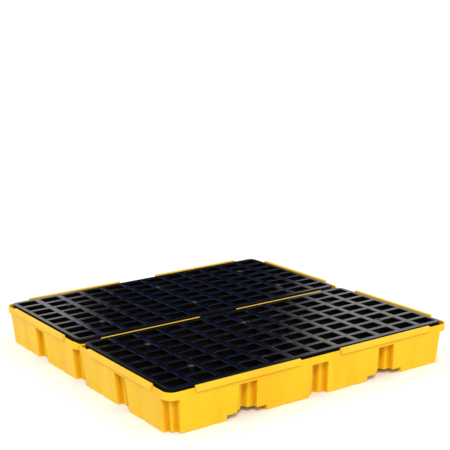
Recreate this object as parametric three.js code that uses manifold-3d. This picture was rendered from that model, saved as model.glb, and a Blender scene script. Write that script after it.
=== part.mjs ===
// Four-drum spill containment pallet.
// A one-piece moulded base holds two sumps side by side. A lift-off grate covers each sump, and
// six posts pegged to the underside of each grate carry it over the sump floor.
// Millimetres. X runs along the length of each sump, Y across the two sumps, +Z is up.
// The origin is at the middle of the ground face.

import * as THREE from 'three';
import { mergeVertices } from 'three/addons/utils/BufferGeometryUtils.js';
import Module from 'manifold-3d';

const wasm = await Module();
wasm.setup();

// ---------------------------------------------------------------- driving dimensions

const length = 1308;
const width = 1330;
const height = 164;
const touchGap = 0.3;

// base shell
const wall = 5.5;
const floorThickness = 6;
const wallDraft = 13;
const rimCornerRadius = 38;
const rimDrop = 8;
const halfOverlap = 4;

// raised lips on the rim
const lipOverhang = 7;
const lipHeight = 23;
const lipChamfer = 2.5;
const longLipStart = 93;
const longLipEndInset = 116;
const shortLipStart = 101;
const shortLipEndInset = 108;

// vertical grooves in the walls, and the ledge above each of them
const longGrooveSpacing = 320;
const shortGrooveSpacing = 328;
const grooveHalfWidth = 45;
const grooveTopHalfWidth = 37.5;
const grooveDepth = 24;
const slotHalfWidth = 17;
const slotBackHalfWidth = 8;
const slotDepth = 43;
const ledgeThickness = 6;

// stepped recess below each outer corner of the rim
const cornerRecessX = 46;
const cornerRecessY = 49;
const cornerStepX = 24;
const cornerStepY = 27;

// shallow flutes that stiffen the flat stretches of wall
const fluteHalfWidth = 20;
const fluteBackHalfWidth = 12;
const fluteDepth = 2;

// two channels across the underside
const channelHalfWidth = 91;
const channelTopHalfWidth = 84;
const channelHeight = 20;

// divider between the sumps
const dividerThickness = 12;
const dividerDrop = 6;
const dividerSaddleDrop = 15;
const dividerFinStart = 90;
const dividerFinEndInset = 113;
const saddleHalfWidth = 14;
const ridgeHalfWidth = 40;
const ridgeTopHalfWidth = 34;

// grates
const grateDrop = 1;
const grateDepth = 29.7;
const grateWallGap = 13.5;
const grateDividerGap = 12;
const grateCornerRadius = 26;
const plateThickness = 6;
const ribThickness = 6;
const columns = 12;
const rows = 8;
const endBorder = 17;
const sideBorder = 22;
const columnBar = 25;
const rowBar = 19.5;

// posts and pegs
const postRadius = 20;
const postTopRadius = 17.5;
const postWall = 4;
const postCap = 7;
const postClearance = 4;
const postRow = 2;
const bossRadius = 16;
const pegRadius = 4;
const pegClearance = 0.3;
const pegHeadRadius = 9.5;
const pegHeadHeight = 3;
const pegHeadRecess = 3.3;
const pegBarbRadius = 5.6;
const pegBarbLength = 7;
const pegHeadClearance = 0.8;

// ---------------------------------------------------------------- derived heights and places

const halfLength = length / 2;
const halfWidth = width / 2;
const grateTop = height - grateDrop;
const grateBottom = grateTop - grateDepth;
const ledgeTop = grateBottom - touchGap;
const grooveTop = ledgeTop - ledgeThickness;
const rimTop = height - rimDrop;
const above = height + 50;
const below = -50;

const wallX = halfLength - lipOverhang;
const wallY = halfWidth - lipOverhang;
const footX = wallX - wallDraft;
const footY = wallY - wallDraft;

const grateHalfLength = wallX - wall - grateWallGap;
const grateOuterY = wallY - wall - grateWallGap;
const grateInnerY = dividerThickness / 2 + grateDividerGap;
const grateHalfWidth = (grateOuterY - grateInnerY) / 2;
const grateCentreY = (grateOuterY + grateInnerY) / 2;
const columnPitch = (2 * (grateHalfLength - endBorder) + columnBar) / columns;
const rowPitch = (2 * (grateHalfWidth - sideBorder) + rowBar) / rows;

const postX = longGrooveSpacing + channelHalfWidth + wall + postClearance + postRadius;
const postY = postRow * rowPitch;

// ---------------------------------------------------------------- solids

function solidOf(geometry) {
  const bare = geometry.clone();
  bare.deleteAttribute('normal');
  bare.deleteAttribute('uv');
  const merged = mergeVertices(bare, 1e-4);
  return new wasm.Manifold(new wasm.Mesh({
    numProp: 3,
    vertProperties: new Float32Array(merged.attributes.position.array),
    triVerts: new Uint32Array(merged.index.array),
  }));
}

function meshOf(name, solid, material) {
  const { vertProperties, triVerts } = solid.getMesh();
  const geometry = new THREE.BufferGeometry();
  geometry.setAttribute('position', new THREE.BufferAttribute(new Float32Array(vertProperties), 3));
  geometry.setIndex(new THREE.BufferAttribute(new Uint32Array(triVerts), 1));
  geometry.computeVertexNormals();
  const mesh = new THREE.Mesh(geometry, material);
  mesh.name = name;
  return mesh;
}

function outlineOf(points) {
  return new THREE.Shape(points.map(([x, y]) => new THREE.Vector2(x, y)));
}

function roundedRectangle(x0, x1, y0, y1, radius) {
  const shape = new THREE.Shape();
  shape.moveTo(x0 + radius, y0);
  shape.lineTo(x1 - radius, y0);
  shape.absarc(x1 - radius, y0 + radius, radius, -Math.PI / 2, 0);
  shape.absarc(x1 - radius, y1 - radius, radius, 0, Math.PI / 2);
  shape.absarc(x0 + radius, y1 - radius, radius, Math.PI / 2, Math.PI);
  shape.absarc(x0 + radius, y0 + radius, radius, Math.PI, 1.5 * Math.PI);
  return shape;
}

// Extrudes an outline from z0 to z1. `lean` gives the place of each point of its top end.
function prism(shape, z0, z1, lean = null, curveSegments = 6) {
  const geometry = new THREE.ExtrudeGeometry(shape, {
    depth: z1 - z0,
    bevelEnabled: false,
    curveSegments,
  });
  const position = geometry.attributes.position;
  for (let i = 0; i < position.count; i += 1) {
    if (lean && position.getZ(i) > 0) {
      const [x, y] = lean(position.getX(i), position.getY(i));
      position.setXY(i, x, y);
    }
  }
  geometry.translate(0, 0, z0);
  return solidOf(geometry);
}

function box(x0, x1, y0, y1, z0, z1) {
  const geometry = new THREE.BoxGeometry(x1 - x0, y1 - y0, z1 - z0);
  geometry.translate((x0 + x1) / 2, (y0 + y1) / 2, (z0 + z1) / 2);
  return solidOf(geometry);
}

// Turns a closed profile of [radius, z] points about the vertical line through x, y.
function turned(profile, x, y, sides) {
  const points = profile.map(([radius, z]) => new THREE.Vector2(radius, z));
  const geometry = new THREE.LatheGeometry(points, sides);
  geometry.rotateX(Math.PI / 2);
  geometry.translate(x, y, 0);
  return solidOf(geometry);
}

function rod(radius, x, y, z0, z1, sides) {
  return turned([[0, z0], [radius, z0], [radius, z1], [0, z1]], x, y, sides);
}

function union(solids) {
  return solids.reduce((joined, solid) => joined.add(solid));
}

// ---------------------------------------------------------------- base

// One sump's outline. It reaches from the outer long wall across the middle by `inner`.
function sumpShape(reachX, reachY, inner, radius) {
  return roundedRectangle(-reachX, reachX, -reachY, inner, radius);
}

// Spreads a foot outline outwards to the rim outline and leaves its inner edge in place.
function spread(fromX, fromY, inner) {
  const scaleX = (fromX + wallDraft) / fromX;
  const scaleY = (fromY + wallDraft + inner) / (fromY + inner);
  return (x, y) => [x * scaleX, inner + (y - inner) * scaleY];
}

function shellHalf() {
  const inner = halfOverlap / 2;
  const lower = prism(
    sumpShape(footX, footY, inner, rimCornerRadius),
    0, grooveTop, spread(footX, footY, inner),
  );
  const upper = prism(sumpShape(wallX, wallY, inner, rimCornerRadius), grooveTop, rimTop);
  return lower.add(upper);
}

function cavityHalf() {
  const inner = -dividerThickness / 2;
  const radius = rimCornerRadius - wall;
  const lower = prism(
    sumpShape(footX - wall, footY - wall, inner, radius),
    floorThickness, ledgeTop, spread(footX - wall, footY - wall, inner),
  );
  const upper = prism(sumpShape(wallX - wall, wallY - wall, inner, radius), ledgeTop, above);
  return lower.add(upper);
}

// A groove's plan, cut inwards (+v) from a wall face on v = 0. `grow` thickens it by the wall.
function groovePlan(grow) {
  const half = grooveHalfWidth + grow;
  const slot = slotHalfWidth + grow;
  const back = slotBackHalfWidth + grow;
  return outlineOf([
    [-half, below], [half, below],
    [half, grooveDepth + grow], [slot, grooveDepth + grow],
    [back, slotDepth + grow], [-back, slotDepth + grow],
    [-slot, grooveDepth + grow], [-half, grooveDepth + grow],
  ]);
}

function groove(grow, z0, z1) {
  const narrowing = (grooveTopHalfWidth + grow) / (grooveHalfWidth + grow);
  return prism(groovePlan(grow), z0, z1, (u, v) => [u * narrowing, v - wallDraft]);
}

// Every wall groove of the base, or the pilaster that surrounds it inside the sump.
function grooves(grow, z0, z1) {
  const one = groove(grow, z0, z1);
  const all = [];
  for (const step of [-1, 0, 1]) {
    all.push(one.translate([step * longGrooveSpacing, -footY, 0]));
    all.push(one.rotate([0, 0, 180]).translate([step * longGrooveSpacing, footY, 0]));
    all.push(one.rotate([0, 0, -90]).translate([-footX, step * shortGrooveSpacing, 0]));
    all.push(one.rotate([0, 0, 90]).translate([footX, step * shortGrooveSpacing, 0]));
  }
  return union(all);
}

// The stepped recess below each outer corner of the rim, or its walls inside the sump.
function cornerRecesses(grow, z0, z1) {
  const plan = outlineOf([
    [footX - cornerRecessX - grow, footY - cornerStepY - grow],
    [footX - cornerStepX - grow, footY - cornerStepY - grow],
    [footX - cornerStepX - grow, footY - cornerRecessY - grow],
    [footX - below, footY - cornerRecessY - grow],
    [footX - below, footY - below],
    [footX - cornerRecessX - grow, footY - below],
  ]);
  const one = prism(plan, z0, z1, (x, y) => [x + wallDraft, y + wallDraft]);
  const pair = one.add(one.mirror([1, 0, 0]));
  return pair.add(pair.mirror([0, 1, 0]));
}

// Shallow flutes in the middle of each flat stretch of wall.
function flutes() {
  const plan = outlineOf([
    [-fluteHalfWidth, -fluteDepth], [fluteHalfWidth, -fluteDepth],
    [fluteBackHalfWidth, fluteDepth], [-fluteBackHalfWidth, fluteDepth],
  ]);
  const lower = prism(plan, 0, grooveTop, (u, v) => [u, v - wallDraft]);
  const upper = prism(plan, grooveTop, height - lipHeight).translate([0, -wallDraft, 0]);
  const placed = lower.add(upper);
  const longPlaces = [longGrooveSpacing / 2, (longGrooveSpacing + footX - cornerRecessX) / 2];
  const shortPlaces = [shortGrooveSpacing / 2, (shortGrooveSpacing + footY - cornerRecessY) / 2];
  const all = [];
  for (const side of [-1, 1]) {
    for (const u of longPlaces) {
      all.push(placed.translate([side * u, -footY, 0]));
      all.push(placed.rotate([0, 0, 180]).translate([side * u, footY, 0]));
    }
    for (const u of shortPlaces) {
      all.push(placed.rotate([0, 0, -90]).translate([-footX, side * u, 0]));
      all.push(placed.rotate([0, 0, 90]).translate([footX, side * u, 0]));
    }
  }
  return union(all);
}

// A channel across the underside, or the raised floor over it.
function channels(grow, z0, z1) {
  const reach = grow > 0 ? footY : width;
  const plan = outlineOf([
    [-channelHalfWidth - grow, -reach], [channelHalfWidth + grow, -reach],
    [channelHalfWidth + grow, reach], [-channelHalfWidth - grow, reach],
  ]);
  const narrowing = (channelTopHalfWidth + grow) / (channelHalfWidth + grow);
  const one = prism(plan, z0, z1, (x, y) => [x * narrowing, y]);
  return one.translate([longGrooveSpacing, 0, 0]).add(one.translate([-longGrooveSpacing, 0, 0]));
}

// The hollow ridge between the sumps, which carries the inner edges of both grates.
function ridge(reachX, halfFoot, halfTop, z0, z1) {
  const plan = outlineOf([
    [-reachX, -halfFoot], [reachX, -halfFoot], [reachX, halfFoot], [-reachX, halfFoot],
  ]);
  return prism(plan, z0, z1, (x, y) => [x, (y * halfTop) / halfFoot]);
}

// A raised lip along the rim, with a softened top edge outside.
function lip(from, to, outerFace, innerFace) {
  const section = outlineOf([
    [innerFace, height - lipHeight], [outerFace, height - lipHeight],
    [outerFace, height - lipChamfer], [outerFace - lipChamfer, height], [innerFace, height],
  ]);
  const geometry = new THREE.ExtrudeGeometry(section, { depth: to - from, bevelEnabled: false });
  geometry.rotateX(Math.PI / 2);
  geometry.translate(0, -from, 0);
  return solidOf(geometry);
}

function lips() {
  const short = lip(shortLipStart, halfWidth - shortLipEndInset, halfLength, wallX - wall);
  const long = lip(longLipStart, halfLength - longLipEndInset, halfWidth, wallY - wall);
  const shortPair = short.add(short.mirror([0, 1, 0]));
  const turnedLong = long.rotate([0, 0, 90]);
  const longPair = turnedLong.add(turnedLong.mirror([1, 0, 0]));
  const shortAll = shortPair.add(shortPair.mirror([1, 0, 0]));
  const longAll = longPair.add(longPair.mirror([0, 1, 0]));
  return shortAll.add(longAll);
}

function dividerFins() {
  const half = dividerThickness / 2;
  const end = halfLength - dividerFinEndInset;
  const one = box(dividerFinStart, end, -half, half, ledgeTop, height - dividerDrop);
  return one.add(one.mirror([1, 0, 0]));
}

// Lowers the divider between its fins and at both of its ends.
function saddles() {
  const floor = height - dividerSaddleDrop;
  return box(-length, length, -saddleHalfWidth, saddleHalfWidth, floor, above);
}

function sumpBase() {
  const ridgeEnd = footX - slotDepth - wall;
  const half = shellHalf();
  const shell = half.add(half.mirror([0, 1, 0]));
  const cavity = cavityHalf();
  const kept = union([
    grooves(wall, 0, ledgeTop),
    cornerRecesses(wall, 0, ledgeTop),
    channels(wall, 0, channelHeight + floorThickness),
    ridge(footX, ridgeHalfWidth, ridgeTopHalfWidth, 0, ledgeTop),
  ]);
  const hollows = cavity.add(cavity.mirror([0, 1, 0])).subtract(kept);
  const cuts = union([
    grooves(0, below, grooveTop),
    cornerRecesses(0, below, grooveTop),
    flutes(),
    channels(0, below, channelHeight),
    ridge(ridgeEnd, ridgeHalfWidth - wall, ridgeTopHalfWidth - wall, below, grooveTop),
    saddles(),
  ]);
  return shell.subtract(hollows).subtract(cuts).add(lips()).add(dividerFins());
}

// ---------------------------------------------------------------- grates, posts and pegs

// The six places where a post stands under a grate, from the grate's own middle.
function postPlaces() {
  const places = [];
  for (const y of [-postY, postY]) {
    for (const x of [-postX, 0, postX]) {
      places.push([x, y]);
    }
  }
  return places;
}

// The grate's outline in plan, drawn in from its edge by `inset`.
function grateOutline(inset) {
  const halfX = grateHalfLength - inset;
  const halfY = grateHalfWidth - inset;
  return roundedRectangle(-halfX, halfX, -halfY, halfY, grateCornerRadius - inset);
}

// A flat panel with the grate's outline and one hole for each column and row. The skirt's
// thickness is left between the holes and the outline.
function panel(z0, z1, holeSpan) {
  const holes = [];
  for (let column = 0; column < columns; column += 1) {
    for (let row = 0; row < rows; row += 1) {
      const [x0, x1] = holeSpan(column, columns, columnPitch, columnBar, grateHalfLength);
      const [y0, y1] = holeSpan(row, rows, rowPitch, rowBar, grateHalfWidth);
      holes.push(box(x0, x1, y0, y1, below, above));
    }
  }
  const inside = prism(grateOutline(ribThickness), below, above);
  return prism(grateOutline(0), z0, z1).subtract(wasm.Manifold.union(holes).intersect(inside));
}

// From bar to bar: an opening in the top plate.
function openingSpan(index, count, pitch, bar) {
  const centre = (index - (count - 1) / 2) * pitch;
  return [centre - (pitch - bar) / 2, centre + (pitch - bar) / 2];
}

// From rib to rib, or from the grate's edge to a rib: a cell below the top plate.
function cellSpan(index, count, pitch, bar, edge) {
  const from = index === 0 ? -edge : (index - count / 2) * pitch + ribThickness / 2;
  const last = index === count - 1;
  const to = last ? edge : (index + 1 - count / 2) * pitch - ribThickness / 2;
  return [from, to];
}

function grate() {
  const plate = panel(grateTop - plateThickness, grateTop, openingSpan);
  const ribs = panel(grateBottom, grateTop - plateThickness, cellSpan);
  const bosses = postPlaces().map(([x, y]) => rod(bossRadius, x, y, grateBottom, grateTop, 12));
  const bores = postPlaces().flatMap(([x, y]) => [
    rod(pegRadius + pegClearance, x, y, below, above, 12),
    rod(pegHeadRadius + pegHeadClearance, x, y, grateTop - pegHeadRecess, above, 12),
  ]);
  return union([plate, ribs, ...bosses]).subtract(union(bores));
}

// A hollow column, open at its foot, with a bored cap at the top.
function post(x, y) {
  const foot = floorThickness + touchGap;
  const top = grateBottom - touchGap;
  const bore = pegRadius + pegClearance;
  return turned([
    [postRadius - postWall, foot], [postRadius, foot], [postTopRadius, top], [bore, top],
    [bore, top - postCap], [postTopRadius - postWall, top - postCap],
    [postRadius - postWall, foot],
  ], x, y, 14);
}

// A push-in peg: domed head, straight shank and a barb that springs out below the post's cap.
function peg(x, y) {
  const headSeat = grateTop - pegHeadRecess + touchGap;
  const headTop = headSeat + pegHeadHeight - touchGap;
  const barbTop = grateBottom - postCap - 2 * touchGap;
  const tip = barbTop - pegBarbLength;
  return turned([
    [0, tip], [pegRadius / 2, tip], [pegBarbRadius, barbTop], [pegRadius, barbTop],
    [pegRadius, headSeat], [pegHeadRadius, headSeat],
    [pegHeadRadius * 0.8, headTop - 0.8], [0, headTop],
  ], x, y, 12);
}

// ---------------------------------------------------------------- the assembly

const yellowPolyethylene = () => new THREE.MeshStandardMaterial({
  color: 0xf6b90c,
  roughness: 0.42,
  metalness: 0,
});
const blackPolyethylene = () => new THREE.MeshStandardMaterial({
  color: 0x16171a,
  roughness: 0.34,
  metalness: 0,
});
const greyNylon = () => new THREE.MeshStandardMaterial({
  color: 0x3a3c40,
  roughness: 0.45,
  metalness: 0,
});

function grateAssembly(side, centreY) {
  const assembly = new THREE.Group();
  assembly.add(meshOf(`${side}_grate`, grate(), blackPolyethylene()));
  postPlaces().forEach(([x, y], index) => {
    assembly.add(meshOf(`${side}_post_${index + 1}`, post(x, y), blackPolyethylene()));
    assembly.add(meshOf(`${side}_peg_${index + 1}`, peg(x, y), greyNylon()));
  });
  assembly.position.y = centreY;
  return assembly;
}

const pallet = new THREE.Group();
pallet.add(meshOf('sump_base', sumpBase(), yellowPolyethylene()));
pallet.add(grateAssembly('front', -grateCentreY));
pallet.add(grateAssembly('rear', grateCentreY));

export default pallet;
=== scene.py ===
import math

import bmesh
import bpy
from mathutils import Matrix, Vector


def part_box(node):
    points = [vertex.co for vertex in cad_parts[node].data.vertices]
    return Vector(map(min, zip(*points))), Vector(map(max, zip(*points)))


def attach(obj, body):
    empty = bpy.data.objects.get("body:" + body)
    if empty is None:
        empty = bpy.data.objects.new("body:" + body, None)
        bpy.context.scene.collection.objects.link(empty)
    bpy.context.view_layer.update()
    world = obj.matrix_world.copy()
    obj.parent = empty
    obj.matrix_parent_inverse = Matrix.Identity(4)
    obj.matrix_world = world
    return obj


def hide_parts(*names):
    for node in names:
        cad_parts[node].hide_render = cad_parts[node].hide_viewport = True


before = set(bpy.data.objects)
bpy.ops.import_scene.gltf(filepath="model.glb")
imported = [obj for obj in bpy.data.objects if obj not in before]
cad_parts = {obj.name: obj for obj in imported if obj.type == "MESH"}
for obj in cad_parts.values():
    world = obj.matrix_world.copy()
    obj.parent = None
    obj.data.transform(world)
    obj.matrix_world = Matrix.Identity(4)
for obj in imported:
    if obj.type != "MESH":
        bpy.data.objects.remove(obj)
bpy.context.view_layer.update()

# ---------------------------------------------------------------- studio
# The pallet stands on a wide sheet of white paper under an even, soft light. A dark blue card
# hangs behind it, out of view, so that the middle of the black deck stays dark.

camera_place = Vector((-2.413, -3.6101, 1.4774))
camera_heading = math.radians(34.19)
camera_dip = math.radians(12.378)
camera_roll = math.radians(-1.022)
camera_lens = 88.62

camera_data = bpy.data.cameras.new("studio_camera")
camera_data.lens = camera_lens
camera_data.sensor_width = 36.0
camera_data.clip_end = 1000.0
camera = bpy.data.objects.new("studio_camera", camera_data)
bpy.context.collection.objects.link(camera)
camera.matrix_world = (
    Matrix.Translation(camera_place)
    @ Matrix.Rotation(-camera_heading, 4, "Z")
    @ Matrix.Rotation(math.pi / 2 - camera_dip, 4, "X")
    @ Matrix.Rotation(camera_roll, 4, "Z")
)
bpy.context.scene.camera = camera
bpy.context.scene.view_settings.view_transform = "Standard"


def new_material(name):
    """An empty node material with its output, and its node tree."""
    material = bpy.data.materials.new(name)
    material.use_nodes = True
    material.node_tree.nodes.clear()
    output = material.node_tree.nodes.new("ShaderNodeOutputMaterial")
    shader = material.node_tree.nodes.new("ShaderNodeBsdfPrincipled")
    material.node_tree.links.new(shader.outputs["BSDF"], output.inputs["Surface"])
    return material, material.node_tree, shader


paper_size = 600.0
bpy.ops.object.select_all(action="DESELECT")
bpy.ops.mesh.primitive_plane_add(size=paper_size)
paper = bpy.context.object
paper.name = "paper"
paper_material, _, paper_shader = new_material("white_paper")
paper_shader.inputs["Base Color"].default_value = (0.93, 0.93, 0.925, 1.0)
paper_shader.inputs["Roughness"].default_value = 0.9
paper_shader.inputs["Specular IOR Level"].default_value = 0.0
paper.data.materials.append(paper_material)

world = bpy.data.worlds.new("studio")
bpy.context.scene.world = world
world.use_nodes = True
sky = world.node_tree
sky.nodes.clear()
sky_output = sky.nodes.new("ShaderNodeOutputWorld")
sky_light = sky.nodes.new("ShaderNodeBackground")
sky.links.new(sky_light.outputs["Background"], sky_output.inputs["Surface"])
sky_direction = sky.nodes.new("ShaderNodeTexCoord")
across = sky.nodes.new("ShaderNodeVectorMath")
across.operation = "DOT_PRODUCT"
across.inputs[1].default_value = (math.cos(camera_heading), -math.sin(camera_heading), 0.0)
sky.links.new(sky_direction.outputs["Generated"], across.inputs[0])
card = sky.nodes.new("ShaderNodeValToRGB")
card.color_ramp.interpolation = "EASE"
card_dark = (0.0, 0.010, 0.065)
card_light = (1.0, 1.0, 1.0)
card_stops = [
    (0.0, card_light), (0.426, card_light), (0.440, card_dark),
    (0.528, card_dark), (0.548, card_light), (1.0, card_light),
]
while len(card.color_ramp.elements) < len(card_stops):
    card.color_ramp.elements.new(0.5)
for element, (place, shade) in zip(card.color_ramp.elements, card_stops):
    element.position = place
    element.color = (*shade, 1.0)
across_unit = sky.nodes.new("ShaderNodeMapRange")
across_unit.inputs["From Min"].default_value = -1.0
sky.links.new(across.outputs["Value"], across_unit.inputs["Value"])
sky.links.new(across_unit.outputs["Result"], card.inputs["Fac"])
ahead = sky.nodes.new("ShaderNodeVectorMath")
ahead.operation = "DOT_PRODUCT"
ahead.inputs[1].default_value = (math.sin(camera_heading), math.cos(camera_heading), 0.0)
sky.links.new(sky_direction.outputs["Generated"], ahead.inputs[0])
ahead_only = sky.nodes.new("ShaderNodeMapRange")
ahead_only.inputs["From Min"].default_value = 0.55
ahead_only.inputs["From Max"].default_value = 0.8
sky.links.new(ahead.outputs["Value"], ahead_only.inputs["Value"])
sky_mix = sky.nodes.new("ShaderNodeMix")
sky_mix.data_type = "RGBA"
sky_mix.inputs["A"].default_value = (1.0, 1.0, 1.0, 1.0)
sky.links.new(ahead_only.outputs["Result"], sky_mix.inputs["Factor"])
sky.links.new(card.outputs["Color"], sky_mix.inputs["B"])
sky.links.new(sky_mix.outputs["Result"], sky_light.inputs["Color"])
sky_light.inputs["Strength"].default_value = 0.96

key_data = bpy.data.lights.new("key_light", "SUN")
key_data.energy = 1.3
key_data.angle = math.radians(9)
key = bpy.data.objects.new("key_light", key_data)
key.rotation_euler = (math.radians(42), 0.0, math.radians(-30))
bpy.context.collection.objects.link(key)


# ---------------------------------------------------------------- sump base
# The tray is one thick moulding of yellow polyethylene with two sumps in it. Grooves and
# channels stiffen its walls and floor, and lips along the rim keep the grates in place.

base_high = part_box("sump_base")[1]
half_length = base_high.x
half_width = base_high.y
height = base_high.z

wall = 0.0055
floor_thickness = 0.006
wall_draft = 0.013
rim_corner_radius = 0.038
rim_top = height - 0.008
half_overlap = 0.002
lip_overhang = 0.007
lip_height = 0.023
long_lip = (0.093, half_length - 0.116)
short_lip = (0.101, half_width - 0.108)
long_grooves = (-0.320, 0.0, 0.320)
short_grooves = (-0.328, 0.0, 0.328)
groove_half_width = 0.045
groove_top_half_width = 0.0375
groove_depth = 0.024
slot_half_width = 0.017
slot_back_half_width = 0.008
slot_depth = 0.043
ledge_top = 0.133
groove_top = 0.127
corner_recess = (0.046, 0.049)
corner_step = (0.024, 0.027)
flute_half_width = 0.044
flute_depth = 0.0026
flute_back_share = 0.28
flute_lip_gap = 0.0005
flute_fade = 0.112
channel_half_width = 0.091
channel_top_half_width = 0.084
channel_height = 0.020
divider_half = 0.006
ridge_half_width = 0.040
ridge_top_half_width = 0.034
saddle_floor = height - 0.015
saddle_half_width = 0.009
saddle_slope = math.radians(27)
fin_top = height - 0.006
fin_span = (0.090, half_length - 0.113)
fin_trim = 0.0005
moulded_radius = 0.0026

rim_x = half_length - lip_overhang
rim_y = half_width - lip_overhang
foot_x = rim_x - wall_draft
foot_y = rim_y - wall_draft
above = height + 0.05
below = -0.05
corner_segments = 8
sharp_edge = math.radians(32)
smooth_edge = math.radians(40)


def only(piece):
    """Leaves one piece selected and active."""
    bpy.ops.object.select_all(action="DESELECT")
    piece.select_set(True)
    bpy.context.view_layer.objects.active = piece


def pick(piece, kind, test):
    """Opens a piece in edit mode with the vertices, edges or faces that pass the test selected."""
    only(piece)
    bpy.ops.object.mode_set(mode="EDIT")
    bpy.ops.mesh.select_mode(type=kind)
    bpy.ops.mesh.select_all(action="DESELECT")
    shape = bmesh.from_edit_mesh(piece.data)
    for part in {"VERT": shape.verts, "EDGE": shape.edges, "FACE": shape.faces}[kind]:
        if test(part):
            part.select_set(True)
    shape.select_flush_mode()
    bmesh.update_edit_mesh(piece.data)


def close_edit():
    """Leaves edit mode, which keeps what was done in it."""
    bpy.ops.object.mode_set(mode="OBJECT")


def settle(piece):
    """Puts a piece's place, turn and size into its mesh."""
    only(piece)
    bpy.ops.object.transform_apply(location=True, rotation=True, scale=True)


def block(low, high):
    """A box between two corners."""
    low, high = Vector(low), Vector(high)
    bpy.ops.object.select_all(action="DESELECT")
    bpy.ops.mesh.primitive_cube_add(size=1, location=(low + high) / 2)
    piece = bpy.context.object
    piece.scale = high - low
    settle(piece)
    return piece


def is_upright(edge):
    """Whether an edge runs up a piece, however much it leans."""
    run = edge.verts[1].co - edge.verts[0].co
    return abs(run.z) > 10 * math.hypot(run.x, run.y)


def round_uprights(piece, radius, segments):
    """Rounds the upright corners of a block."""
    pick(piece, "EDGE", is_upright)
    bpy.ops.mesh.bevel(offset=radius, segments=segments, affect="EDGES")
    close_edit()


def resize_level(piece, z, factors, centre):
    """Resizes the outline of a piece at one height."""
    pick(piece, "VERT", lambda vertex: abs(vertex.co.z - z) < 1e-5)
    bpy.ops.transform.resize(value=factors, center_override=centre)
    close_edit()


def shift_level(piece, z, shift):
    """Moves the outline of a piece at one height."""
    pick(piece, "VERT", lambda vertex: abs(vertex.co.z - z) < 1e-5)
    bpy.ops.transform.translate(value=shift)
    close_edit()


def slice_level(piece, z):
    """Adds a ring of edges round a piece at one height."""
    pick(piece, "FACE", lambda face: True)
    bpy.ops.mesh.bisect(plane_co=(0, 0, z), plane_no=(0, 0, 1))
    close_edit()


def copy_of(piece, turn=0.0, place=(0.0, 0.0, 0.0), flip=(1.0, 1.0, 1.0)):
    """A copy with its own mesh, flipped, turned about the upright line and moved."""
    twin = piece.copy()
    twin.data = piece.data.copy()
    bpy.context.collection.objects.link(twin)
    twin.scale = flip
    twin.rotation_euler.z = turn
    twin.location = place
    settle(twin)
    if flip[0] * flip[1] * flip[2] < 0:
        pick(twin, "FACE", lambda face: True)
        bpy.ops.mesh.normals_make_consistent(inside=False)
        close_edit()
    return twin


def joined(pieces):
    """Several pieces as one object, without merging their surfaces."""
    bpy.ops.object.select_all(action="DESELECT")
    for piece in pieces:
        piece.select_set(True)
    bpy.context.view_layer.objects.active = pieces[0]
    if len(pieces) > 1:
        bpy.ops.object.join()
    return pieces[0]


def combine(piece, tool, operation):
    """Joins a tool to a piece, or cuts the piece with it, and throws the tool away."""
    only(piece)
    bpy.ops.object.modifier_add(type="BOOLEAN")
    modifier = piece.modifiers[-1]
    modifier.operation = operation
    modifier.solver = "EXACT"
    modifier.object = tool
    bpy.ops.object.modifier_apply(modifier=modifier.name)
    bpy.data.objects.remove(tool, do_unlink=True)
    return piece


def sump_block(side, reach, foot, inner, levels, radius):
    """One sump's rounded block on one side of the middle, narrowed at its lowest level."""
    low_z, kink_z, high_z = levels
    y_span = sorted((-side * inner, side * reach[1]))
    piece = block((-reach[0], y_span[0], low_z), (reach[0], y_span[1], high_z))
    round_uprights(piece, radius, corner_segments)
    slice_level(piece, kink_z)
    factors = (foot[0] / reach[0], (foot[1] + inner) / (reach[1] + inner), 1.0)
    resize_level(piece, low_z, factors, (0.0, -side * inner, 0.0))
    return piece


def groove_tool(grow, low_z, high_z):
    """A groove's T-shaped plan, cut inwards from a wall on y = 0, or its wall when it grows."""
    shoulder = block(
        (-groove_half_width - grow, below, low_z),
        (groove_half_width + grow, groove_depth + grow, high_z),
    )
    taper = (slot_half_width - slot_back_half_width) / (slot_depth - groove_depth)
    mouth = groove_depth / 2
    mouth_half = slot_half_width + grow + (groove_depth + grow - mouth) * taper
    slot = block((-mouth_half, mouth, low_z), (mouth_half, slot_depth + grow, high_z))
    pick(slot, "VERT", lambda vertex: vertex.co.y > groove_depth)
    narrow = (slot_back_half_width + grow) / mouth_half
    bpy.ops.transform.resize(value=(narrow, 1.0, 1.0), center_override=(0.0, 0.0, 0.0))
    close_edit()
    tool = combine(shoulder, slot, "UNION")
    factor = (groove_top_half_width + grow) / (groove_half_width + grow)
    resize_level(tool, high_z, (factor, 1.0, 1.0), (0.0, 0.0, 0.0))
    shift_level(tool, high_z, (0.0, -wall_draft, 0.0))
    return tool


def round_the_walls(tool, long_places, short_places):
    """Copies of one tool along all four walls. The tool is made for the wall on -y."""
    copies = []
    for u in long_places:
        copies.append(copy_of(tool, 0.0, (u, -foot_y, 0.0)))
        copies.append(copy_of(tool, math.pi, (u, foot_y, 0.0)))
    for u in short_places:
        copies.append(copy_of(tool, -math.pi / 2, (-foot_x, u, 0.0)))
        copies.append(copy_of(tool, math.pi / 2, (foot_x, u, 0.0)))
    bpy.data.objects.remove(tool, do_unlink=True)
    return joined(copies)


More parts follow.
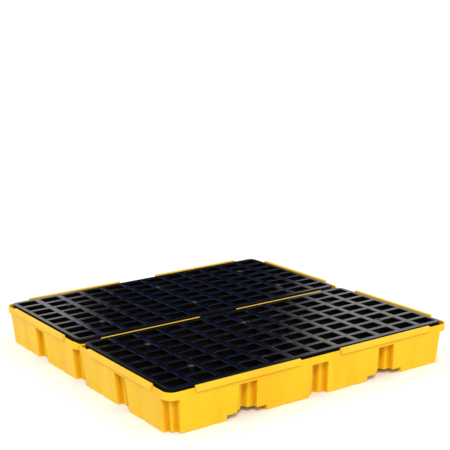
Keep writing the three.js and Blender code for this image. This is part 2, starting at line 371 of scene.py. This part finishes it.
def corner_tool(grow, low_z, high_z):
    """The stepped recess below each corner of the rim, at all four corners."""
    deep = block(
        (foot_x - corner_recess[0] - grow, foot_y - corner_step[1] - grow, low_z),
        (foot_x - below, foot_y - below, high_z),
    )
    wide = block(
        (foot_x - corner_step[0] - grow, foot_y - corner_recess[1] - grow, low_z),
        (foot_x - 2 * below, foot_y - 2 * below, high_z),
    )
    tool = combine(deep, wide, "UNION")
    shift_level(tool, high_z, (wall_draft, wall_draft, 0.0))
    copies = [tool]
    for flip in ((-1.0, 1.0, 1.0), (1.0, -1.0, 1.0), (-1.0, -1.0, 1.0)):
        copies.append(copy_of(tool, flip=flip))
    return joined(copies)


def channel_tool(grow, reach, low_z, high_z):
    """The two channels across the underside, or the raised floor over them."""
    pair = []
    for centre in (long_grooves[0], long_grooves[2]):
        half = channel_half_width + grow
        piece = block((centre - half, -reach, low_z), (centre + half, reach, high_z))
        factor = (channel_top_half_width + grow) / half
        resize_level(piece, high_z, (factor, 1.0, 1.0), (centre, 0.0, 0.0))
        pair.append(piece)
    return joined(pair)


def ridge_tool(reach, half_foot, half_top, low_z, high_z):
    """The ridge between the sumps, or the hollow below it."""
    piece = block((-reach, -half_foot, low_z), (reach, half_foot, high_z))
    resize_level(piece, high_z, (1.0, half_top / half_foot, 1.0), (0.0, 0.0, 0.0))
    return piece


def flute_tool():
    """A shallow flute that follows a wall's draft and fades out below the lip."""
    top = height - lip_height - flute_lip_gap
    piece = block((-flute_half_width, -4 * flute_depth, below), (flute_half_width, 0.0, top))
    pick(piece, "VERT", lambda vertex: vertex.co.y > -flute_depth)
    bpy.ops.transform.resize(value=(flute_back_share, 1.0, 1.0), center_override=(0.0, 0.0, 0.0))
    close_edit()
    slice_level(piece, flute_fade)
    lean = wall_draft / groove_top
    shift_level(piece, below, (0.0, flute_depth - lean * below, 0.0))
    shift_level(piece, flute_fade, (0.0, flute_depth - lean * flute_fade, 0.0))
    shift_level(piece, top, (0.0, -wall_draft - flute_depth / 2, 0.0))
    return piece


def saddle_tool():
    """The dips that lower the divider between its fins and at both of its ends."""
    spread = (above - saddle_floor) / math.tan(saddle_slope) / saddle_half_width
    dips = []
    fin_start, fin_end = fin_span[0] + fin_trim, fin_span[1] - fin_trim
    for low_x, high_x in (
        (-2 * half_length, -fin_end), (-fin_start, fin_start), (fin_end, 2 * half_length),
    ):
        piece = block((low_x, -saddle_half_width, saddle_floor), (high_x, saddle_half_width, above))
        resize_level(piece, above, (1.0, 1.0 + spread, 1.0), (0.0, 0.0, 0.0))
        dips.append(piece)
    return joined(dips)


def raised_strips():
    """The lips round the rim and the fins on the divider, reaching inwards over the sumps."""
    reach = wall + rim_corner_radius / 2
    strips = []
    for side in (-1, 1):
        for end in (-1, 1):
            across_y = sorted((side * short_lip[0], side * short_lip[1]))
            out_x = sorted((end * (rim_x - reach), end * half_length))
            strips.append(((out_x[0], across_y[0], height - lip_height),
                           (out_x[1], across_y[1], height)))
            across_x = sorted((side * long_lip[0], side * long_lip[1]))
            out_y = sorted((end * (rim_y - reach), end * half_width))
            strips.append(((across_x[0], out_y[0], height - lip_height),
                           (across_x[1], out_y[1], height)))
        across_x = sorted((side * fin_span[0], side * fin_span[1]))
        strips.append(((across_x[0], -2 * divider_half, ledge_top),
                       (across_x[1], 2 * divider_half, fin_top)))
    return strips


def moulded_edges(piece, radius, segments):
    """Rounds every sharp edge of a moulding and evens out its shading."""
    pick(piece, "VERT", lambda vertex: True)
    bpy.ops.mesh.remove_doubles(threshold=2e-5)
    close_edit()
    only(piece)
    bpy.ops.object.modifier_add(type="BEVEL")
    rounding = piece.modifiers[-1]
    rounding.width = radius
    rounding.segments = segments
    rounding.limit_method = "ANGLE"
    rounding.angle_limit = sharp_edge
    rounding.use_clamp_overlap = False
    bpy.ops.object.modifier_apply(modifier=rounding.name)
    bpy.ops.object.shade_smooth_by_angle(angle=smooth_edge)
    bpy.ops.object.modifier_add(type="WEIGHTED_NORMAL")
    evening = piece.modifiers[-1]
    evening.keep_sharp = True
    bpy.ops.object.modifier_apply(modifier=evening.name)


def half_blocks(reach, foot, inner, levels, radius):
    """The front and the rear block, which mirror each other."""
    return [sump_block(side, reach, foot, inner, levels, radius) for side in (-1, 1)]


front_shell, rear_shell = half_blocks(
    (rim_x, rim_y), (foot_x, foot_y), half_overlap, (0.0, groove_top, rim_top), rim_corner_radius,
)
base = combine(front_shell, rear_shell, "UNION")
base.name = "moulded_sump_base"
for low, high in raised_strips():
    combine(base, block(low, high), "UNION")

sumps = joined(half_blocks(
    (rim_x - wall, rim_y - wall), (foot_x - wall, foot_y - wall), -divider_half,
    (floor_thickness, ledge_top, above), rim_corner_radius - wall,
))
for kept in (
    round_the_walls(groove_tool(wall, below, ledge_top), long_grooves, short_grooves),
    corner_tool(wall, below, ledge_top),
    channel_tool(wall, foot_y, below, channel_height + floor_thickness),
    ridge_tool(foot_x, ridge_half_width, ridge_top_half_width, below, ledge_top),
):
    combine(sumps, kept, "DIFFERENCE")

long_flutes = (long_grooves[2] / 2, (long_grooves[2] + foot_x - corner_recess[0]) / 2)
short_flutes = (short_grooves[2] / 2, (short_grooves[2] + foot_y - corner_recess[1]) / 2)
ridge_end = foot_x - slot_depth - wall
for cut in (
    sumps,
    channel_tool(0.0, 2 * half_width, below, channel_height),
    round_the_walls(groove_tool(0.0, below, groove_top), long_grooves, short_grooves),
    corner_tool(0.0, below, groove_top),
    round_the_walls(
        flute_tool(),
        [side * place for side in (-1, 1) for place in long_flutes],
        [side * place for side in (-1, 1) for place in short_flutes],
    ),
    ridge_tool(ridge_end, ridge_half_width - wall, ridge_top_half_width - wall, below, groove_top),
    saddle_tool(),
):
    combine(base, cut, "DIFFERENCE")

moulded_edges(base, moulded_radius, 3)


def link(tree, source, socket):
    """Wires one node's output to another node's input."""
    tree.links.new(source, socket)


def add_node(tree, kind, **values):
    """A shader node with the given properties, or input values where it has such inputs."""
    node = tree.nodes.new(kind)
    for name, value in values.items():
        if name in node.inputs:
            node.inputs[name].default_value = value
        else:
            setattr(node, name, value)
    return node


def noise(tree, source, scale, detail=4.0, roughness=0.5, stretch=(1.0, 1.0, 1.0)):
    """A noise pattern on the piece, finer where the scale is higher, in waves a metre."""
    mapping = add_node(tree, "ShaderNodeMapping")
    mapping.inputs["Scale"].default_value = stretch
    link(tree, source, mapping.inputs["Vector"])
    texture = add_node(tree, "ShaderNodeTexNoise", Scale=scale, Detail=detail, Roughness=roughness)
    link(tree, mapping.outputs["Vector"], texture.inputs["Vector"])
    return texture.outputs["Fac"]


def remap(tree, source, from_low, from_high, to_low, to_high):
    """A value moved from one range to another and held within it."""
    node = add_node(tree, "ShaderNodeMapRange")
    for name, value in (("From Min", from_low), ("From Max", from_high),
                        ("To Min", to_low), ("To Max", to_high)):
        node.inputs[name].default_value = value
    link(tree, source, node.inputs["Value"])
    return node.outputs["Result"]


def blend_colours(tree, factor, first, second):
    """A mix of two colours, each a constant or another node's output."""
    node = add_node(tree, "ShaderNodeMix", data_type="RGBA")
    link(tree, factor, node.inputs["Factor"])
    for socket, colour in ((node.inputs["A"], first), (node.inputs["B"], second)):
        if isinstance(colour, tuple):
            socket.default_value = (*colour, 1.0)
        else:
            link(tree, colour, socket)
    return node.outputs["Result"]


def bump(tree, height_source, distance, strength, under=None):
    """A fine relief on the surface, over another one where there is one."""
    node = add_node(tree, "ShaderNodeBump", Strength=strength, Distance=distance)
    link(tree, height_source, node.inputs["Height"])
    if under is not None:
        link(tree, under, node.inputs["Normal"])
    return node.outputs["Normal"]


def edge_wear(tree, low, high):
    """How sharp an outside edge is, from 0 on a flat face to 1 on an edge."""
    geometry = add_node(tree, "ShaderNodeNewGeometry")
    return remap(tree, geometry.outputs["Pointiness"], low, high, 0.0, 1.0)


def yellow_polyethylene():
    """Satin yellow polyethylene: faint flow marks, painted shade deepening the colour in corners and
    recesses, worn edges.
    """
    material, tree, shader = new_material("yellow_polyethylene")
    place = add_node(tree, "ShaderNodeTexCoord").outputs["Object"]
    clouds = remap(tree, noise(tree, place, 3.0, 3.0, 0.55), 0.35, 0.65, 0.0, 1.0)
    colour = blend_colours(tree, clouds, (0.81, 0.480, 0.001), (0.85, 0.535, 0.006))
    streaks = remap(tree, noise(tree, place, 22.0, 4.0, 0.6, (1.0, 1.0, 0.12)), 0.52, 0.78, 0.0, 0.5)
    colour = blend_colours(tree, streaks, colour, (0.86, 0.58, 0.045))
    stains = remap(tree, noise(tree, place, 11.0, 4.0, 0.6, (1.0, 1.0, 0.15)), 0.45, 0.70, 0.0, 0.75)
    colour = blend_colours(tree, stains, colour, (0.80, 0.40, 0.0))
    # Painted shade: an ambient-occlusion mask turns the colour deep orange in corners, grooves,
    # recesses and the creases under the lips.
    corner = add_node(tree, "ShaderNodeAmbientOcclusion", samples=6, only_local=True)
    corner.inputs["Distance"].default_value = 0.022
    painted_recess_shade = remap(tree, corner.outputs["AO"], 0.40, 0.96, 1.0, 0.0)
    colour = blend_colours(tree, painted_recess_shade, colour, (0.60, 0.17, 0.001))
    worn = edge_wear(tree, 0.52, 0.60)
    chips = remap(tree, noise(tree, place, 60.0, 5.0, 0.65), 0.42, 0.7, 0.15, 0.75)
    wear = add_node(tree, "ShaderNodeMath", operation="MULTIPLY")
    link(tree, worn, wear.inputs[0])
    link(tree, chips, wear.inputs[1])
    colour = blend_colours(tree, wear.outputs["Value"], colour, (0.88, 0.62, 0.09))
    link(tree, colour, shader.inputs["Base Color"])
    sheen_patches = noise(tree, place, 14.0, 4.0, 0.6)
    link(tree, remap(tree, sheen_patches, 0.3, 0.7, 0.34, 0.48), shader.inputs["Roughness"])
    waves = bump(tree, noise(tree, place, 9.0, 2.0, 0.4), 0.004, 0.12)
    skin = bump(tree, noise(tree, place, 700.0, 3.0, 0.55), 0.0004, 0.10, waves)
    link(tree, skin, shader.inputs["Normal"])
    shader.inputs["IOR"].default_value = 1.5
    shader.inputs["Specular IOR Level"].default_value = 0.22
    return material


def dress(piece, material, slot, body, *nodes):
    """Gives a finished piece its material and its body, and hides the nodes it stands for. The slot
    is not used.
    """
    piece.data.materials.clear()
    piece.data.materials.append(material)
    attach(piece, body)
    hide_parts(*nodes)


dress(base, yellow_polyethylene(), "yellow_polyethylene", "base", "sump_base")


# ---------------------------------------------------------------- grates
# Each sump has a lift-off grate of black polyethylene: a plate with rows of rectangular
# openings, ribs below its bars, a skirt round its edge and bosses for the six pegs.

grate_low, grate_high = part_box("front_grate")
grate_middle = (grate_low + grate_high) / 2
grate_half = (grate_high - grate_low) / 2
grate_corner_radius = 0.026
plate_thickness = 0.006
rib_thickness = 0.006
grate_columns = 12
grate_rows = 8
end_border = 0.017
side_border = 0.022
column_bar = 0.025
row_bar = 0.0195
opening_corner_radius = 0.004
boss_radius = 0.016
peg_bore_radius = 0.0043
peg_seat_radius = 0.0103
peg_seat_depth = 0.0033
grate_edge_radius = 0.0012
tool_overlap = 0.001

column_pitch = (2 * (grate_half.x - end_border) + column_bar) / grate_columns
row_pitch = (2 * (grate_half.y - side_border) + row_bar) / grate_rows
plate_bottom = grate_high.z - plate_thickness
post_places = []
for number in range(1, 7):
    post_low, post_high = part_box(f"front_post_{number}")
    post_places.append((post_low + post_high) / 2 - grate_middle)


def drum(radius, low_z, high_z, place, sides=32):
    """A round plug on an upright line."""
    bpy.ops.object.select_all(action="DESELECT")
    bpy.ops.mesh.primitive_cylinder_add(
        vertices=sides, radius=radius, depth=high_z - low_z,
        location=(place.x, place.y, (low_z + high_z) / 2),
    )
    piece = bpy.context.object
    settle(piece)
    return piece


def arrayed(piece, columns, rows, pitch_x, pitch_y):
    """Rows and columns of one piece, in one object."""
    for count, offset in ((columns, (pitch_x, 0.0, 0.0)), (rows, (0.0, pitch_y, 0.0))):
        only(piece)
        bpy.ops.object.modifier_add(type="ARRAY")
        modifier = piece.modifiers[-1]
        modifier.count = count
        modifier.use_relative_offset = False
        modifier.use_constant_offset = True
        modifier.constant_offset_displace = offset
        bpy.ops.object.modifier_apply(modifier=modifier.name)
    return piece


def opening_tools(low_z, high_z):
    """The rounded openings between the bars of the plate."""
    half = ((column_pitch - column_bar) / 2, (row_pitch - row_bar) / 2)
    first = (-(grate_columns - 1) / 2 * column_pitch, -(grate_rows - 1) / 2 * row_pitch)
    tool = block(
        (first[0] - half[0], first[1] - half[1], low_z),
        (first[0] + half[0], first[1] + half[1], high_z),
    )
    round_uprights(tool, opening_corner_radius, 3)
    return arrayed(tool, grate_columns, grate_rows, column_pitch, row_pitch)


def cell_span(index, count, pitch, edge):
    """The space between two ribs, or from the edge of the grate to its first rib."""
    low = -edge if index == 0 else (index - count / 2) * pitch + rib_thickness / 2
    last = index == count - 1
    high = edge if last else (index + 1 - count / 2) * pitch - rib_thickness / 2
    return low, high


def cell_tools(low_z, high_z):
    """The cells between the ribs below the plate, inside the skirt."""
    cells = []
    for column in range(grate_columns):
        for row in range(grate_rows):
            x_low, x_high = cell_span(column, grate_columns, column_pitch, grate_half.x)
            y_low, y_high = cell_span(row, grate_rows, row_pitch, grate_half.y)
            cells.append(block((x_low, y_low, low_z), (x_high, y_high, high_z)))
    inside = block(
        (rib_thickness - grate_half.x, rib_thickness - grate_half.y, 2 * low_z),
        (grate_half.x - rib_thickness, grate_half.y - rib_thickness, 2 * high_z),
    )
    round_uprights(inside, grate_corner_radius - rib_thickness, corner_segments)
    return combine(joined(cells), inside, "INTERSECT")


def make_grate():
    """One grate about its own middle line, at its height."""
    bottom, top = grate_low.z, grate_high.z
    grate = block((-grate_half.x, -grate_half.y, bottom), (grate_half.x, grate_half.y, top))
    round_uprights(grate, grate_corner_radius, corner_segments)
    pick(grate, "FACE", lambda face: True)
    for column in range(1, grate_columns):
        place = (column - grate_columns / 2) * column_pitch
        bpy.ops.mesh.select_all(action="SELECT")
        bpy.ops.mesh.bisect(plane_co=(place, 0.0, 0.0), plane_no=(1.0, 0.0, 0.0))
    for row in range(1, grate_rows):
        place = (row - grate_rows / 2) * row_pitch
        bpy.ops.mesh.select_all(action="SELECT")
        bpy.ops.mesh.bisect(plane_co=(0.0, place, 0.0), plane_no=(0.0, 1.0, 0.0))
    close_edit()
    tool = combine(
        cell_tools(below, plate_bottom), opening_tools(plate_bottom - tool_overlap, above), "UNION",
    )
    for place in post_places:
        combine(tool, drum(boss_radius, 2 * below, 2 * above, place), "DIFFERENCE")
    combine(grate, tool, "DIFFERENCE")
    for place in post_places:
        combine(grate, drum(peg_bore_radius, below, above, place, 20), "DIFFERENCE")
        combine(grate, drum(peg_seat_radius, top - peg_seat_depth, above, place, 24), "DIFFERENCE")
    moulded_edges(grate, grate_edge_radius, 2)
    pick(grate, "EDGE", lambda edge: edge.is_boundary)
    bpy.ops.mesh.fill_holes(sides=8)
    close_edit()
    return grate


def black_polyethylene(name, gloss_low, gloss_high):
    """Black polyethylene, rubbed bright on top and dull on its sides, with dust and scuffs."""
    material, tree, shader = new_material(name)
    coordinates = add_node(tree, "ShaderNodeTexCoord")
    place = coordinates.outputs["Object"]
    clouds = remap(tree, noise(tree, place, 6.0, 4.0, 0.6), 0.35, 0.65, 0.0, 1.0)
    colour = blend_colours(tree, clouds, (0.0010, 0.0011, 0.0014), (0.0028, 0.0029, 0.0034))
    dust = remap(tree, noise(tree, place, 160.0, 5.0, 0.7), 0.66, 0.76, 0.0, 0.5)
    colour = blend_colours(tree, dust, colour, (0.05, 0.045, 0.036))
    worn = edge_wear(tree, 0.53, 0.62)
    colour = blend_colours(tree, worn, colour, (0.016, 0.017, 0.018))
    link(tree, colour, shader.inputs["Base Color"])
    facing = add_node(tree, "ShaderNodeSeparateXYZ")
    link(tree, coordinates.outputs["Normal"], facing.inputs["Vector"])
    side_on = remap(tree, facing.outputs["Z"], 0.3, 0.9, 1.0, 0.0)
    scuffs = remap(tree, noise(tree, place, 40.0, 5.0, 0.65, (1.0, 0.3, 1.0)), 0.45, 0.75, 0.0, 0.14)
    gloss = remap(tree, noise(tree, place, 8.0, 3.0, 0.5), 0.3, 0.7, gloss_low, gloss_high)
    rough = add_node(tree, "ShaderNodeMath", operation="ADD")
    link(tree, scuffs, rough.inputs[0])
    link(tree, gloss, rough.inputs[1])
    duller = add_node(tree, "ShaderNodeMath", operation="MULTIPLY_ADD")
    link(tree, side_on, duller.inputs[0])
    duller.inputs[1].default_value = 0.35
    link(tree, rough.outputs["Value"], duller.inputs[2])
    link(tree, duller.outputs["Value"], shader.inputs["Roughness"])
    link(tree, remap(tree, side_on, 0.0, 1.0, 0.5, 0.12), shader.inputs["Specular IOR Level"])
    pebble = bump(tree, noise(tree, place, 900.0, 2.0, 0.5), 0.0003, 0.08)
    link(tree, pebble, shader.inputs["Normal"])
    shader.inputs["IOR"].default_value = 1.5
    return material


grate_material = black_polyethylene("black_polyethylene", 0.09, 0.15)
grate_pattern = make_grate()
for side in ("front", "rear"):
    node = f"{side}_grate"
    low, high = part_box(node)
    panel = copy_of(grate_pattern, place=((low.x + high.x) / 2, (low.y + high.y) / 2, 0.0))
    panel.name = f"{side}_deck_grate"
    dress(panel, grate_material, "black_polyethylene", f"{side}_grate_assembly", node)
bpy.data.objects.remove(grate_pattern, do_unlink=True)


# ---------------------------------------------------------------- posts
# Six hollow posts of dull black polyethylene hold each grate off the floor of its sump. A post
# is open at its foot, where four notches let the liquid in, and capped where its peg grips.

post_low, post_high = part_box("front_post_1")
post_radius = 0.020
post_top_radius = 0.0175
post_wall = 0.004
post_cap = 0.007
notch_half_width = 0.005
notch_height = 0.009
post_edge_radius = 0.0008


def grow_face(piece, is_face, steps):
    """Draws a flat end of a piece out, each step by a height and a factor of its size."""
    pick(piece, "FACE", is_face)
    for rise, factor in steps:
        bpy.ops.mesh.extrude_region_move(TRANSFORM_OT_translate={"value": (0.0, 0.0, rise)})
        bpy.ops.transform.resize(value=(factor, factor, 1.0), center_override=(0.0, 0.0, 0.0))
    close_edit()


def make_post():
    """One post on the upright line through the origin, at its height."""
    post = drum(post_radius, post_low.z, post_high.z, Vector(), 40)
    narrowing = post_top_radius / post_radius
    resize_level(post, post_high.z, (narrowing, narrowing, 1.0), (0.0, 0.0, 0.0))
    bore_rise = post_high.z - post_cap - post_low.z
    bore_taper = (post_top_radius - post_wall) / (post_radius - post_wall)
    grow_face(post, lambda face: face.normal.z < -0.9, [
        (0.0, (post_radius - post_wall) / post_radius), (bore_rise, bore_taper),
    ])
    cap_bore = drum(peg_bore_radius, post_high.z - 2 * post_cap, above, Vector(), 24)
    combine(post, cap_bore, "DIFFERENCE")
    for turn in (0.0, math.pi / 2):
        notch = block((-2 * post_radius, -notch_half_width, below),
                      (2 * post_radius, notch_half_width, post_low.z + notch_height))
        notch.rotation_euler.z = turn + math.pi / 4
        settle(notch)
        combine(post, notch, "DIFFERENCE")
    moulded_edges(post, post_edge_radius, 2)
    return post


post_material = black_polyethylene("black_post", 0.42, 0.55)
post_pattern = make_post()
for side in ("front", "rear"):
    for number in range(1, 7):
        node = f"{side}_post_{number}"
        low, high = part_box(node)
        post = copy_of(post_pattern, place=((low.x + high.x) / 2, (low.y + high.y) / 2, 0.0))
        post.name = f"{side}_grate_post_{number}"
        dress(post, post_material, "black_post", f"{side}_grate_assembly", node)
bpy.data.objects.remove(post_pattern, do_unlink=True)


# ---------------------------------------------------------------- pegs
# A push-in peg of dark grey nylon ties each post to its grate. Its domed head sits in a shallow
# seat in the deck, and its split tip springs out below the cap of the post.

peg_low, peg_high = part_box("front_peg_1")
peg_radius = 0.004
peg_head_radius = 0.0095
peg_head_height = 0.0027
peg_head_rim = 0.0008
peg_barb_radius = 0.0056
peg_barb_length = 0.007
peg_slit_half_width = 0.0009
peg_edge_radius = 0.00025


def make_peg():
    """One peg on the upright line through the origin, at its height."""
    head_seat = peg_high.z - peg_head_height
    barb_top = peg_low.z + peg_barb_length
    peg = drum(peg_radius, barb_top, head_seat, Vector(), 24)
    dome_steps = [(0.0, peg_head_radius / peg_radius), (peg_head_rim, 1.0)]
    dome_rise = peg_head_height - peg_head_rim
    angles = [math.radians(angle) for angle in (0, 22, 42, 60, 76)]
    for first, second in zip(angles, angles[1:]):
        rise = dome_rise * (math.sin(second) - math.sin(first))
        dome_steps.append((rise, math.cos(second) / math.cos(first)))
    dome_steps.append((dome_rise * (1 - math.sin(angles[-1])), 0.1))
    grow_face(peg, lambda face: face.normal.z > 0.9, dome_steps)
    shank_middle = (barb_top + head_seat) / 2
    grow_face(peg, lambda face: face.normal.z < -0.9 and face.calc_center_median().z < shank_middle, [
        (0.0, peg_barb_radius / peg_radius),
        (-0.25 * peg_barb_length, 0.94),
        (-0.75 * peg_barb_length, peg_radius / 2 / peg_barb_radius / 0.94),
    ])
    slit_top = (head_seat + 2 * barb_top) / 3
    slit = block((-peg_slit_half_width, -2 * peg_radius, below),
                 (peg_slit_half_width, 2 * peg_radius, slit_top))
    combine(peg, slit, "DIFFERENCE")
    moulded_edges(peg, peg_edge_radius, 2)
    return peg


def grey_nylon():
    """Dark grey nylon with a faint mottle and paler, rubbed edges."""
    material, tree, shader = new_material("grey_nylon")
    place = add_node(tree, "ShaderNodeTexCoord").outputs["Object"]
    mottle = remap(tree, noise(tree, place, 180.0, 4.0, 0.6), 0.3, 0.7, 0.0, 1.0)
    colour = blend_colours(tree, mottle, (0.034, 0.035, 0.038), (0.055, 0.056, 0.060))
    colour = blend_colours(tree, edge_wear(tree, 0.52, 0.6), colour, (0.11, 0.11, 0.115))
    link(tree, colour, shader.inputs["Base Color"])
    link(tree, remap(tree, mottle, 0.0, 1.0, 0.32, 0.48), shader.inputs["Roughness"])
    link(tree, bump(tree, noise(tree, place, 1500.0, 2.0, 0.5), 0.0002, 0.1), shader.inputs["Normal"])
    return material


peg_material = grey_nylon()
peg_pattern = make_peg()
for side in ("front", "rear"):
    for number in range(1, 7):
        node = f"{side}_peg_{number}"
        low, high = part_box(node)
        peg = copy_of(peg_pattern, place=((low.x + high.x) / 2, (low.y + high.y) / 2, 0.0))
        peg.name = f"{side}_post_peg_{number}"
        dress(peg, peg_material, "grey_nylon", f"{side}_grate_assembly", node)
bpy.data.objects.remove(peg_pattern, do_unlink=True)
